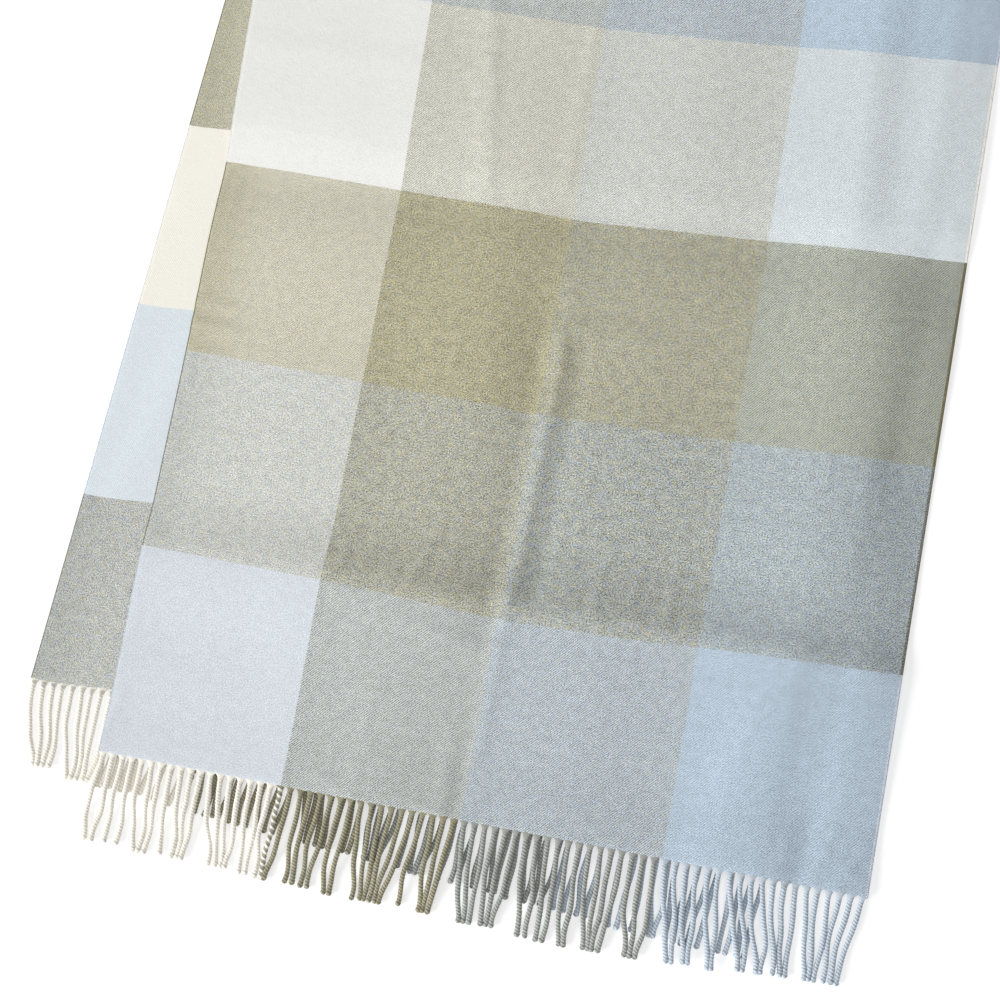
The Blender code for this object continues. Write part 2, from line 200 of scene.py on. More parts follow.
# The yarns in the cloth: linear colour, how grainy it is, how many hue flecks it has, how
# much it stands before the other yarn, how dark the painted shade in its gaps is, and how
# plainly it shows.
WARP_YARNS = (
    (0.0, (0.732, 0.724, 0.684), 0.06, 0.00, -0.04, 0.0, 0.50),
    (0.1735, (0.377, 0.361, 0.260), 0.92, 0.36, 0.08, 0.1, 1.00),
    (0.3415, (0.324, 0.343, 0.310), 0.95, 0.80, 0.06, 0.1, 0.80),
    (0.5200, (0.317, 0.406, 0.478), 0.52, 0.00, -0.04, 1.1, 0.37),
)
BLUE_WEFT = ((0.569, 0.658, 0.772), 0.53, 0.19, 0.02, 0.18, 1.00)
GREY_WEFT = ((0.487, 0.507, 0.477), 1.28, 1.50, 0.00, 0.4, 0.70)
OLIVE_WEFT = ((0.464, 0.433, 0.282), 1.05, 0.90, -0.04, 1.4, 1.00)
WHITE_WEFT = ((0.842, 0.850, 0.821), 0.28, 0.13, 0.00, 0.06, 0.54)
WEFT_ROWS = (BLUE_WEFT, GREY_WEFT, OLIVE_WEFT, WHITE_WEFT) * 2 + (BLUE_WEFT, GREY_WEFT)

# The same wefts on the cloth's other face, which shows more of them.
BLUE_BACK = ((0.655, 0.735, 0.793), 0.30, 0.30, 0.00, 0.0, 0.25)
GREY_BACK = ((0.438, 0.450, 0.424), 1.55, 1.70, 0.00, 0.0, 0.25)
OLIVE_BACK = ((0.463, 0.445, 0.328), 1.25, 1.10, 0.00, 0.0, 0.25)
WHITE_BACK = ((0.880, 0.850, 0.762), 0.08, 0.15, 0.00, 0.0, 0.20)
BACK_ROWS = (BLUE_BACK, GREY_BACK, OLIVE_BACK, WHITE_BACK) * 2 + (BLUE_BACK, GREY_BACK)

# How pale each row of the lower layer is, and what is beside it, for the light painted through
# the upper layer.
ROW_PALENESS = (0.6, 0.35, 0.35, 1.0) * 2 + (0.6, 0.35)
FLOOR_PALENESS = 0.8

# What the turned wefts look like on the selvages, row by row, before their painted shade.
SELVAGES = ((0.56, 0.62, 0.70), (0.22, 0.22, 0.19), (0.21, 0.195, 0.11), (0.74, 0.73, 0.69))
SELVAGE_ROWS = SELVAGES * 2 + SELVAGES[:2]

# Linear colours of the twisted fringe yarns, with hue and light flecks and how much light
# is left in the grooves.
FRINGE_YARNS = (
    (0.0, (0.965, 0.945, 0.895), 0.05, 0.08, 0.78),
    (0.1735, (0.420, 0.400, 0.290), 0.40, 0.60, 0.44),
    (0.3415, (0.455, 0.475, 0.465), 0.50, 0.60, 0.46),
    (0.5200, (0.580, 0.670, 0.790), 0.10, 0.25, 0.60),
)

# -------------------------------- camera and light
CAMERA_AT = Vector((0.3470, -0.4140, 1.7894))
CAMERA_AIM = Vector((0.0138, -0.1510, 0.0035))
CAMERA_ROLL = math.radians(41.84)
LENS = 72.9
SENSOR = 36.0
SUN_FROM = Vector((-0.72, -0.52, 0.40))
SUN_POWER = 3.6
SUN_SPREAD = math.radians(32)
TOP_FROM = Vector((0.15, -0.12, 1.0))
TOP_POWER = 1.09
TOP_SPREAD = math.radians(70)
SKY_POWER = 0.22
FLOOR_SIZE = 14.0
FLOOR_BELOW = 0.0002     # it is this far below the part's own bottom


def smooth(value):
    """Smooth step from 0 to 1 as value goes from 0 to 1."""
    t = np.clip(value, 0.0, 1.0)
    return t * t * (3 - 2 * t)


# -------------------------------- where the layers lie

def fold_y(x):
    """The turned edge, at x."""
    return FOLD_LEFT_Y - (x - FOLD_LEFT_X) * math.tan(FOLD_TURN)


def hem_bow(across):
    """How far the lower layer's hem is drawn in, at a distance from its left selvage."""
    return HEM_BOW * smooth(across / HEM_BOW_TO)


def under_hem_y(x):
    """The lower layer's hem, at x."""
    return UNDER_Y + hem_bow(x - UNDER_X) - (x - UNDER_X) * math.tan(UNDER_TURN)


def under_right_x(y):
    """The lower layer's right selvage, at y."""
    along = (y - UNDER_Y + WIDTH * math.sin(UNDER_TURN)) / math.cos(UNDER_TURN)
    return UNDER_X + WIDTH * math.cos(UNDER_TURN) + np.maximum(along, 0) * math.sin(UNDER_TURN)


def under_point(across, along):
    """Place in the lower layer, from its left hem corner."""
    x = UNDER_X + across * math.cos(UNDER_TURN) + along * math.sin(UNDER_TURN)
    y = UNDER_Y - across * math.sin(UNDER_TURN) + along * math.cos(UNDER_TURN)
    return x, y


def under_place(x, y):
    """The lower layer's across and along, at a point."""
    right = (x - UNDER_X) * math.cos(UNDER_TURN) - (y - UNDER_Y) * math.sin(UNDER_TURN)
    ahead = (x - UNDER_X) * math.sin(UNDER_TURN) + (y - UNDER_Y) * math.cos(UNDER_TURN)
    return right, ahead


def under_hem_point(across, along):
    """Place in the lower layer or its fringe, from its hem."""
    return under_point(across, along + hem_bow(across))


def under_length(across):
    """Length of the lower layer, from its hem corner's level to the turned edge."""
    x, y = under_point(across, 0.0)
    climb = math.cos(UNDER_TURN) + math.tan(FOLD_TURN) * math.sin(UNDER_TURN)
    return (fold_y(x) - y) / climb


def upper_point(across, along):
    """Place in the upper layer: both selvages drift left near the turned edge."""
    end = fold_y(across + FOLD_LEFT_X)
    left = np.maximum(along - LEFT_DRIFT_FROM, 0.0) / (end - LEFT_DRIFT_FROM)
    right = np.maximum(along - RIGHT_DRIFT_FROM, 0.0) / (end - RIGHT_DRIFT_FROM)
    share = across / WIDTH
    drift = (1 - share) * left ** LEFT_DRIFT_POWER + share * right ** RIGHT_DRIFT_POWER
    return across + FOLD_LEFT_X * drift, along + 0 * across


def ridges(x, y, folds):
    """Height of a table's folds, at a point."""
    total = 0.0 * x
    for *places, tenths in folds:
        from_x, from_y, to_x, to_y, left_width, right_width = (mm / 1000 for mm in places)
        run = math.hypot(to_x - from_x, to_y - from_y)
        ahead = ((x - from_x) * (to_x - from_x) + (y - from_y) * (to_y - from_y)) / run
        aside = ((x - from_x) * (to_y - from_y) - (y - from_y) * (to_x - from_x)) / run
        past = np.maximum(np.maximum(-ahead, ahead - run), 0.0)
        to_right = smooth(0.5 + aside / (END_BLEND * past + NEAR_ZERO))
        half_width = left_width + (right_width - left_width) * to_right
        away = np.hypot(aside, past * END_STRETCH)
        total = total + tenths / 10000 * (1 - smooth(away / half_width))
    return total


def side_drop(x, y):
    """How far a place has come down past the lower layer's right selvage, 0 to 1."""
    return smooth((x - under_right_x(y) - SIDE_CLEAR) / SIDE_RAMP)


def rest_height(x, y):
    """Height of the upper layer's underside where it rests."""
    hem = under_hem_y(x)
    lift = 1 - smooth((y - hem - HEM_RAMP_TO) / (HEM_RAMP_FROM - HEM_RAMP_TO))
    height = ON_CLOTH + (ON_FRINGE - ON_CLOTH) * lift
    height = height * (1 - side_drop(x, y))
    to_fold = smooth((y - fold_y(x) + FOLD_RAMP) / FOLD_RAMP)
    return height + (FOLD_HOLLOW - SEAM_GAP) * to_fold


def swell(x, y):
    """Slow uneven rise and fall of cloth that lies loosely, in metres."""
    return sum(size * np.sin(in_x * x + in_y * y + phase)
               for in_x, in_y, phase, size in SWELLS)


def upper_height(x, y):
    """Height of the upper layer's underside, folds and all."""
    to_fold = smooth((fold_y(x) - y) / FOLD_RAMP)
    loose = (swell(x, y) + LOOSE + ridges(x, y, UPPER_FOLDS)) * to_fold
    step = 1 - smooth((y - STEP_TO) / (STEP_FROM - STEP_TO))
    begun = smooth((y - under_hem_y(x) - HEM_RAMP_TO) / (HEM_RAMP_FROM - HEM_RAMP_TO))
    grown = smooth((x - STEP_LEFT[0]) / STEP_LEFT[1])
    over = smooth((x - STEP_RIGHT[0]) / STEP_RIGHT[1])
    beside = (STEP_AT_LEFT + (1 - STEP_AT_LEFT) * grown) * (1 - over)
    loose = loose + STEP_HIGH * step * begun * beside
    return np.maximum(rest_height(x, y) + ridges(x, y, CREASES) + loose, STRAND_CLEAR)


def under_height(across, along):
    """How far the lower layer's top stands above its flat thickness."""
    to_fold = smooth((under_length(across) - along) / FOLD_RAMP)
    return (ridges(across, along, UNDER_FOLDS) + UNDER_LOOSE) * to_fold


# -------------------------------- the cloth's own coordinates

def row_bow(across, run):
    """How far a row line stands from the straight, run metres from its hem."""
    bow = ROW_BOW * np.abs(across - WIDTH / 2) / (WIDTH / 2) - ROW_SAG
    return bow * smooth(run / BOW_FROM) * smooth((LENGTH / 2 - run) / BOW_FROM)


def row_lag(across, along):
    """How far the upper layer's rows fall short of their bow, in metres."""
    rows = np.searchsorted(ROW_AT, along, side="right") - 1
    first = np.clip(rows, 0, len(ROW_AT) - 2)
    at = np.asarray(ROW_AT)
    share = smooth((along - at[first]) / (at[first + 1] - at[first]))
    lags = np.stack([np.interp(across, ROW_ACROSS, row) for row in ROW_LAGS])
    low = np.take_along_axis(lags, first[None], axis=0)[0]
    high = np.take_along_axis(lags, first[None] + 1, axis=0)[0]
    return (low + (high - low) * share) / 1000


def upper_pattern(across, along):
    """The upper layer's place in the pattern, from its hem."""
    return along - row_bow(across, along) + row_lag(across, along)


def under_pattern(across, along):
    """The lower layer's place in the pattern, counted from the other hem."""
    run = along - hem_bow(across)
    return LENGTH - (run + UNDER_SHORT) * CHECK / UNDER_ROW


# -------------------------------- meshes

def make_piece(name, points, faces, cloth, material):
    """A piece in the part's frame, with its cloth coordinates as a UV map."""
    mesh = bpy.data.meshes.new(name)
    placed = np.asarray(points) + (HEM_X, HEM_Y, 0.0)
    mesh.from_pydata(placed.tolist(), [], [face.tolist() for face in faces])
    add_map(mesh, "cloth", cloth)
    mesh.materials.append(material)
    mesh.shade_smooth()
    mesh.set_sharp_from_angle(angle=SHARP_EDGE)
    piece = bpy.data.objects.new(name, mesh)
    bpy.context.scene.collection.objects.link(piece)
    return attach(piece, "root")


def add_map(mesh, name, values):
    """A UV map, from a pair of values for each point."""
    corners = np.empty(len(mesh.loops), np.int32)
    mesh.loops.foreach_get("vertex_index", corners)
    layer = mesh.uv_layers.new(name=name)
    layer.uv.foreach_set("vector", np.asarray(values, np.float32)[corners].ravel())


def add_value(mesh, name, values):
    """A value for each point, which a material can read."""
    layer = mesh.attributes.new(name, "FLOAT", "POINT")
    layer.data.foreach_set("value", np.asarray(values, np.float32).ravel())


def stations(length, round_end):
    """Distances along a sheet, closer together over each rounded edge."""
    last = [length - step for step in EDGE_STEPS] if round_end else [length]
    inner = np.linspace(EDGE_STEPS[-1], min(last), int(round(length / GRID)))[1:-1]
    return np.array([*EDGE_STEPS, *inner, *reversed(last)])


def edge_inset(distance):
    """How far a rounded edge has drawn in from the cloth's faces."""
    t = np.clip(1 - distance / EDGE_ROUND, 0, 1)
    return WALL / 2 * (1 - np.sqrt(1 - t * t))


def grid_faces(shape):
    """Point numbers of a grid, and its faces."""
    number = np.arange(shape[0] * shape[1]).reshape(shape)
    quads = np.stack([number[:-1, :-1], number[:-1, 1:], number[1:, 1:], number[1:, :-1]], -1)
    return number, quads.reshape(-1, 4)


def closed_sheet(name, x, y, low, high, cloth, material, ground):
    """A closed shell between two grids of heights over the same places."""
    number, quads = grid_faces(x.shape)
    count = number.size
    around = np.concatenate([number[0, :-1], number[:-1, -1], number[-1, :0:-1],
                             number[:0:-1, 0]])
    rim = np.stack([around, around + count, np.roll(around, -1) + count,
                    np.roll(around, -1)], -1)
    faces = np.concatenate([quads, quads[:, ::-1] + count, rim])
    top = np.stack([x, y, high], -1).reshape(-1, 3)
    bottom = np.stack([x, y, low], -1).reshape(-1, 3)
    piece = make_piece(name, np.concatenate([top, bottom]), faces,
                       np.tile(cloth.reshape(-1, 2), (2, 1)), material)
    add_value(piece.data, "ground", np.tile(np.ravel(ground), 2))
    return piece


def row_paleness(pattern):
    """How pale the lower layer's row is at a place in its pattern, 0 to 1."""
    row = np.floor(pattern / CHECK).astype(int)
    return np.array(ROW_PALENESS)[np.clip(row, 0, len(ROW_PALENESS) - 1)]


def upper_sheet(material):
    """The upper layer, from its hem to the turned edge."""
    wide = stations(WIDTH, True)
    share = stations(fold_y(GRID_AT), False) / fold_y(GRID_AT)
    across, share = np.meshgrid(wide, share)
    end = fold_y(across + FOLD_LEFT_X)
    along = share * end
    x, y = upper_point(across, along)
    inset = edge_inset(np.minimum(np.minimum(across, WIDTH - across), along))
    low = upper_height(x, y)
    cloth = np.stack([across, upper_pattern(across, along)], -1)
    below_across, below_along = under_place(x, y)
    inside = ((below_across > 0) & (below_across < WIDTH)
              & (below_along > hem_bow(below_across)))
    pale = row_paleness(under_pattern(below_across, below_along))
    ground = np.where(inside, pale, FLOOR_PALENESS)
    return closed_sheet("upper_cloth", x, y, low + inset, low + WALL - inset, cloth, material,
                        ground)


def under_sheet(material):
    """The lower layer, flat on the floor."""
    wide = stations(WIDTH, True)
    share = stations(under_length(WIDTH / 2), False) / under_length(WIDTH / 2)
    across, share = np.meshgrid(wide, share)
    start = hem_bow(across)
    run = share * (under_length(across) - start)
    along = start + run
    x, y = under_point(across, along)
    inset = edge_inset(np.minimum(np.minimum(across, WIDTH - across), run))
    cloth = np.stack([across, under_pattern(across, along)], -1)
    high = WALL + under_height(across, along) - inset
    return closed_sheet("under_cloth", x, y, inset, high, cloth, material,
                        np.full(x.shape, FLOOR_PALENESS))


def fold_sheet(material):
    """The turned edge: half a round shell between the two layers."""
    wide = stations(WIDTH, True)
    turns = np.radians(np.linspace(-90, 90, FOLD_POINTS))
    across, turn = np.meshgrid(wide, turns)
    inset = edge_inset(np.minimum(across, WIDTH - across))
    x = FOLD_LEFT_X + across * math.cos(FOLD_TURN)
    inner = FOLD_HOLLOW / 2
    sides = []
    for radius in (inner + WALL - inset, inner + inset):
        out = radius * np.cos(turn)
        height = WALL + inner + radius * np.sin(turn)
        sides.append(np.stack([x + out * math.sin(FOLD_TURN),
                               fold_y(x) + out * math.cos(FOLD_TURN), height], -1))
    number, quads = grid_faces(x.shape)
    count = number.size
    ends = [np.stack([edge[:-1], edge[:-1] + count, edge[1:] + count, edge[1:]], -1)
            for edge in (number[::-1, 0], number[:, -1])]
    faces = np.concatenate([quads, quads[:, ::-1] + count, *ends])
    pattern = upper_pattern(across, fold_y(x)) + (math.pi / 2 - turn) * (inner + WALL)
    cloth = np.stack([across, pattern], -1)
    points = np.concatenate([side.reshape(-1, 3) for side in sides])
    piece = make_piece("fold_cloth", points, faces, np.tile(cloth.reshape(-1, 2), (2, 1)),
                       material)
    add_value(piece.data, "ground", np.full(2 * count, FLOOR_PALENESS))
    return piece


# -------------------------------- the fringes
TWIST = 0.0057           # length of one turn of a strand's two plies
RING = 0.00060           # spacing of the rings along a strand
AROUND = np.arange(8)    # points of a ring
PLY = np.cos(AROUND * math.pi / 2)   # 1 on the back of a ply, -1 in a groove
GROOVE = 0.10            # depth of the grooves between plies, of the radius
ROOT_LENGTH = 0.0062     # a strand is round about this far from its hem
ROOT_LEAST, ROOT_MORE = 0.8, 0.4      # share of that, from strand to strand
ROOT_HALF = 0.00072      # half the thickness of a strand's flat root
ROOT_INSIDE = 0.0010     # a root starts this far inside the hem
ROOT_TWIST_FROM = 0.3    # share of the root that has no twist yet
ROOT_RIDGE = 0.40        # how light the painted groove shade leaves it there, from groove to ridge
STRAND_WIDE = 1.26       # a strand's width and height, of the solid strand's
STRAND_HIGH = 0.96
NARROWER = 0.12          # strands past the cream yarn are narrower by this,
NARROW_FROM, NARROW_OVER = 0.16, 0.03     # which starts this far across
THINNEST, THICKER = 0.95, 0.12        # share of the radius, from strand to strand
UNEVEN = 0.05            # share by which it rises and falls along a strand
UNEVEN_RATE = 9          # and how fast, in radians from root to tip
UNEVEN_PHASE = 6
TIP_FULLER = 0.12        # the last turns come apart a little
TIP_FROM, TIP_OVER = 0.955, 0.02
TIP_ROUND = 0.0010       # length of a tip's rounded end
TIP_ROUNDING = 0.65
STRAND_WAVE = 0.0010     # small waves along a strand,
WAVES_LEAST = 1.2        # at least this many
CLUMP_BOW = 0.0028       # how far a clump's outer strands bow away from its middle
BOW_LEAST, BOW_MORE = 0.4, 1.2        # share of that, from strand to strand
BOW_LATE = 1.3           # above 1, it is past the middle of a strand
STRANDS_APART = 10       # between two strands' fibres, in turns


def strand_places(clumps):
    """Each strand's root, tip, reach and side of its clump, from the clumps' table."""
    places = []
    for strands, tip, spacing, reach in clumps:
        for i in range(strands):
            root = (len(places) + 0.5) * WIDTH / STRANDS
            at = tip + (i - (strands - 1) / 2) * spacing
            lean = (i - (strands - 1) / 2) / max(strands / 2, 1)
            places.append((root, at / 1000, reach / 1000, lean))
    return places


def upper_strand_height(x, y):
    """Underside of an upper strand: on the lower fringe, then down to the floor."""
    tips = UNDER_TIP_Y + UNDER_TIP_SLOPE * (x - UNDER_TIP_X)
    fall = smooth((tips - TIP_CLEAR - y) / TIP_FALL)
    raised = ON_FRINGE * (1 - fall) * (1 - side_drop(x, 0.0))
    return np.maximum(raised, STRAND_CLEAR)


def upper_root_height(x, y):
    """Middle of the upper cloth at its hem."""
    return upper_height(x, np.maximum(y, 0.0)) + WALL / 2


def strand_mesh(route, half_width, half_height, lengths, start_turn, groove):
    """Points and faces of one twisted strand along a route."""
    ahead = np.gradient(route, axis=0)
    ahead /= np.linalg.norm(ahead, axis=1, keepdims=True)
    side = np.cross(ahead, (0.0, 0.0, 1.0))
    side /= np.linalg.norm(side, axis=1, keepdims=True)
    up = np.cross(side, ahead)
    around = len(AROUND)
    angle = (start_turn + 2 * math.pi * lengths / TWIST)[:, None]
    angle = angle + 2 * math.pi * AROUND / around
    swing = groove[:, None] * PLY
    wide = (half_width[:, None] * (1 + swing) * np.cos(angle))[..., None]
    high = (half_height[:, None] * (1 + swing) * np.sin(angle))[..., None]
    points = route[:, None, :] + side[:, None, :] * wide + up[:, None, :] * high
    rings = len(route)
    number = np.arange(rings * around).reshape(rings, around)
    turned = np.roll(number, -1, axis=1)
    walls = np.stack([number[:-1], turned[:-1], turned[1:], number[1:]], -1).reshape(-1, 4)
    return points.reshape(-1, 3), walls, [number[0, ::-1], number[-1]]


def strand_line(strand, sway, wave, phase, share):
    """A strand's place across its hem, from its root to its tip."""
    root, tip, _, lean = strand
    across = root + (tip - root) * smooth(share) + sway * np.sin(math.pi * share)
    waves = share * (WAVES_LEAST + wave) + phase
    across = across + STRAND_WAVE * np.sin(2 * math.pi * waves) * share
    bow = CLUMP_BOW * lean * (BOW_LEAST + BOW_MORE * wave)
    return across + bow * np.sin(math.pi * share ** BOW_LATE) ** 2


def strand_radius(share, to_tip, phase, size):
    """A strand's radius along it: a little uneven, and fuller at its rounded tip."""
    radius = STRAND_RADIUS * (THINNEST + THICKER * size)
    radius = radius * (1 + UNEVEN * np.sin(UNEVEN_RATE * share + UNEVEN_PHASE * phase))
    radius = radius * (1 + TIP_FULLER * smooth((share - TIP_FROM) / TIP_OVER))
    return radius * np.sqrt(1 - TIP_ROUNDING * (1 - to_tip) ** 2)


def strand_piece(strand, sway, draws, place, root_height, height, pattern):
    """One strand: points, walls, caps, cloth and cord coordinates, and ridges."""
    root, _, reach, _ = strand
    closed, wave, phase, turn, size = draws
    pitch = WIDTH / STRANDS
    share = np.linspace(0.0, 1.0, int(reach / RING))
    down = -ROOT_INSIDE + share * (reach + ROOT_INSIDE)
    x, y = place(strand_line(strand, sway, wave, phase, share), -down)

    # A flat root as wide as the strands' spacing, which draws in to a round strand.
    root_end = ROOT_LENGTH * (ROOT_LEAST + ROOT_MORE * closed)
    grown = smooth(down / root_end)
    flare = 1 - np.sqrt(1 - (1 - np.clip(down / root_end, 0, 1)) ** 2)
    radius = strand_radius(share, np.clip((reach - down) / TIP_ROUND, 0, 1), phase, size)
    wide = radius * (STRAND_WIDE - NARROWER * smooth((root - NARROW_FROM) / NARROW_OVER))
    half_width = wide + (pitch * 0.5 - wide) * flare
    half_height = ROOT_HALF + (radius * STRAND_HIGH - ROOT_HALF) * grown
    lowest = height(x, y) + half_height * (1 + GROOVE)
    z = root_height(x, y) * (1 - grown) + lowest * grown
    z = np.maximum(z, half_height * (1 + GROOVE * grown))
    route = np.stack([x, y, z], -1)
    steps = np.linalg.norm(np.diff(route, axis=0), axis=1)
    lengths = np.concatenate([[0], np.cumsum(steps)])
    points, walls, caps = strand_mesh(route, half_width, half_height, lengths,
                                      2 * math.pi * turn, GROOVE * grown)

    # Its two plies are the yarns on both sides of its root.
    ply = (AROUND + 2) // 4 % 2 - 0.5
    yarn = np.broadcast_to(root + ply * pitch * 0.5, (len(share), len(AROUND)))
    run = np.broadcast_to(pattern(down)[:, None], yarn.shape)
    cloth = np.stack([yarn, run], -1).reshape(-1, 2)
    around = np.broadcast_to(AROUND / len(AROUND), yarn.shape)
    around = around + STRANDS_APART * root / pitch
    run = np.broadcast_to(lengths[:, None], yarn.shape)
    cord = np.stack([around, run], -1).reshape(-1, 2)
    twisted = smooth((down / root_end - ROOT_TWIST_FROM) / (1 - ROOT_TWIST_FROM))[:, None]
    ridge = (ROOT_RIDGE * (1 - twisted) + (0.5 + 0.5 * PLY) * twisted).reshape(-1)
    return points, walls, caps, cloth, cord, ridge


def fringe_piece(name, clumps, place, root_height, height, pattern, material):
    """All the strands along one hem."""
    strands = strand_places(clumps)
    draw = np.random.default_rng(SEED)
    sways = [float(draw.uniform(-SWAY, SWAY)) for _ in strands]
    fine = np.random.default_rng(SEED + 1)
    points, faces, cloth, cord, ridge, offset = [], [], [], [], [], 0
    for strand, sway in zip(strands, sways):
        made, walls, caps, *values = strand_piece(
            strand, sway, fine.uniform(size=5), place, root_height, height, pattern)
        points.append(made)
        faces += list(walls + offset) + [cap + offset for cap in caps]
        for kept, value in zip((cloth, cord, ridge), values):
            kept.append(value)
        offset += len(made)
    piece = make_piece(name, np.concatenate(points), faces, np.concatenate(cloth), material)
    add_map(piece.data, "cord", np.concatenate(cord))
    add_value(piece.data, "ridge", np.concatenate(ridge))
    return piece


# -------------------------------- node helpers

LUMINANCE = (0.2126, 0.7152, 0.0722)


class Nodes:
    """A material's node tree, with short ways to add nodes."""

    def __init__(self, name):
        self.material = bpy.data.materials.new(name)
        self.material.use_nodes = True
        self.tree = self.material.node_tree
        self.shader = self.tree.nodes["Principled BSDF"]

    def add(self, kind, **settings):
        """A new node with its settings."""
        node = self.tree.nodes.new(kind)
        for key, value in settings.items():
            setattr(node, key, value)
        return node

    def feed(self, socket, value):
        """Link a socket to another node's output, or set its value."""
        if isinstance(value, bpy.types.NodeSocket):
            self.tree.links.new(value, socket)
        else:
            socket.default_value = value

    def fill(self, node, values):
        """Feed a node's inputs, by their names or numbers."""
        for key, value in values.items():
            self.feed(node.inputs[key], value)

    def fed(self, kind, values, **settings):
        """A new node's first output, with its first inputs fed."""
        node = self.add(kind, **settings)
        for socket, value in zip(node.inputs, values):
            self.feed(socket, value)
        return node.outputs[0]

    def place(self, name):
        """A UV map's coordinates."""
        return self.add("ShaderNodeUVMap", uv_map=name).outputs[0]

    def value(self, name):
        """One of the mesh's own values."""
        return self.add("ShaderNodeAttribute", attribute_name=name).outputs["Fac"]

    def math(self, operation, *values, clamp=False):
        """A Math node's output."""
        return self.fed("ShaderNodeMath", values, operation=operation, use_clamp=clamp)

    def product(self, *values):
        """The product of several values."""
        result = values[0]
        for value in values[1:]:
            result = self.math("MULTIPLY", result, value)
        return result

    def vector(self, operation, *values):
        """A Vector Math node's output."""
        return self.fed("ShaderNodeVectorMath", values, operation=operation)

    def scaled(self, vector, scale):
        """A vector times a number."""
        node = self.add("ShaderNodeVectorMath", operation="SCALE")
        self.fill(node, {0: vector, "Scale": scale})
        return node.outputs[0]

    def lightness(self, colour):
        """A colour's luminance."""
        node = self.add("ShaderNodeVectorMath", operation="DOT_PRODUCT")
        self.fill(node, {0: colour, 1: LUMINANCE})
        return node.outputs["Value"]

    def combine(self, x, y):
        """Two numbers as a flat vector."""
        return self.fed("ShaderNodeCombineXYZ", (x, y))

    def split(self, vector):
        """A vector's three numbers."""
        node = self.add("ShaderNodeSeparateXYZ")
        self.feed(node.inputs[0], vector)
        return node.outputs

    def mix(self, factor, first, second):
        """A mix of two colours or vectors."""
        node = self.add("ShaderNodeMix", data_type="VECTOR", clamp_factor=True)
        self.fill(node, {"Factor": factor, 4: first, 5: second})
        return node.outputs[1]

    def between(self, value, low, high):
        """0 below low, 1 above high, smooth between."""
        return self.fed("ShaderNodeMapRange", (value, low, high),
                        interpolation_type="SMOOTHSTEP")

    def noise(self, vector, scale, detail=2.0, roughness=0.5, distortion=0.0):
        """A Noise Texture's value and colour."""
        node = self.add("ShaderNodeTexNoise")
        self.fill(node, {"Vector": vector, "Scale": scale, "Detail": detail,
                         "Roughness": roughness, "Distortion": distortion})
        return node.outputs[0], node.outputs[1]

    def bands(self, factor, stops):
        """Flat bands: (start, three numbers, one more number) rows, as a colour and a value."""
        ramp = self.add("ShaderNodeValToRGB")
        ramp.color_ramp.interpolation = "CONSTANT"
        elements = ramp.color_ramp.elements
        elements.remove(elements[1])
        for index, (start, colour, alpha) in enumerate(stops):
            stop = elements[0] if index == 0 else elements.new(start)
            stop.position = start
            stop.color = (*colour, alpha)
        self.feed(ramp.inputs[0], factor)
        return ramp.outputs[0], ramp.outputs[1]

    def wool(self, colour, height, strength, distance):
        """Matt wool with a soft sheen: its colour, and its nap as a bump."""
        bump = self.add("ShaderNodeBump")
        self.fill(bump, {"Strength": strength, "Distance": distance, "Height": height})
        self.fill(self.shader, {
            "Base Color": colour, "Normal": bump.outputs[0], "Roughness": 0.92,
            "Specular IOR Level": 0.15, "Sheen Weight": 0.12, "Sheen Roughness": 0.5})
        return self.material


# -------------------------------- the cloth's material
# Noises are (fineness in a metre, detail, roughness, distortion), as far as they are given.
HALVES = (0.5, 0.5, 0.5)
HUE_FLECK = (0.17, 0.08, -0.22)   # from blue fibres towards yellow ones
WANDER = (150.0, 2.0, 0.6)
LUMPY = 0.0009           # how far threads wander
PATCHES = (130.0, 2.0, 0.6)       # brushing hides the twill in patches
PATCH_FROM, PATCH_TO = 0.25, 0.70
PATCH_LEAST, PATCH_MORE = 0.75, 0.5
TWILL = 0.67             # how plainly the twill shows
EDGE_WEFT = 0.065        # grainy wefts hide more of the warp this near the left selvage
GRAINY_FROM, GRAINY_TO = 0.28, 0.45
HUE_LEAN = 0.03          # how far the colour leans to the thread on top
LIGHT_LEAN = 2.2         # how far its lightness does, with painted relief shade in it
GAP_SHADE = 0.36          # and how dark the painted shade in the gaps beside the lighter threads is
LIGHTER_SHARP = 40.0     # how sharply one yarn counts as lighter than the other
GRAIN = (800.0, 0.0)     # the wool's grain
CLOUD = (120.0, 1.0)     # its uneven spinning
CLOUD_LEAN = 0.25
FLECK = (200.0, 2.0)     # flecks of other hues
FLECK_AT = (3.0, 5.0, 0.0)
FLECK_LEAN = 0.95
EDGE_SHADE_LEFT, EDGE_SHADE_RIGHT = 0.050, 0.585    # painted shade darkens the cloth past these, across
LEFT_SHADE_DEPTH, RIGHT_SHADE_DEPTH = 0.06, 0.24    # by at most this much there
EDGE_SHADE_GRAIN_FROM, EDGE_SHADE_GRAIN_TO = 0.05, 0.45       # in all but the smoothest wefts
SELVAGE_LEFT, SELVAGE_RIGHT = 0.0013, 0.0026   # how much of the turned weft shows
RAGGED = (700.0, 2.0)
RAG = 0.0016
KNOTS = (900.0, 1.0)
KNOT_LEAN = 0.9
# painted shade of the rounded selvage: the turned weft is drawn at this share of its colour,
# less on the left
SELVAGE_SHADE, LEFT_DARKER = 0.62, -0.24
THROUGH = 0.12           # painted light from what lies below: this much through white cloth,
THROUGH_POWER = 3.0      # and far less through a darker one
NAP = (330.0, 1.0, 0.5, 1.2)
TWILL_HIGH = 0.25        # how far the twill stands out of the nap
NAP_BUMP = (0.7, 0.00022)         # strength and height


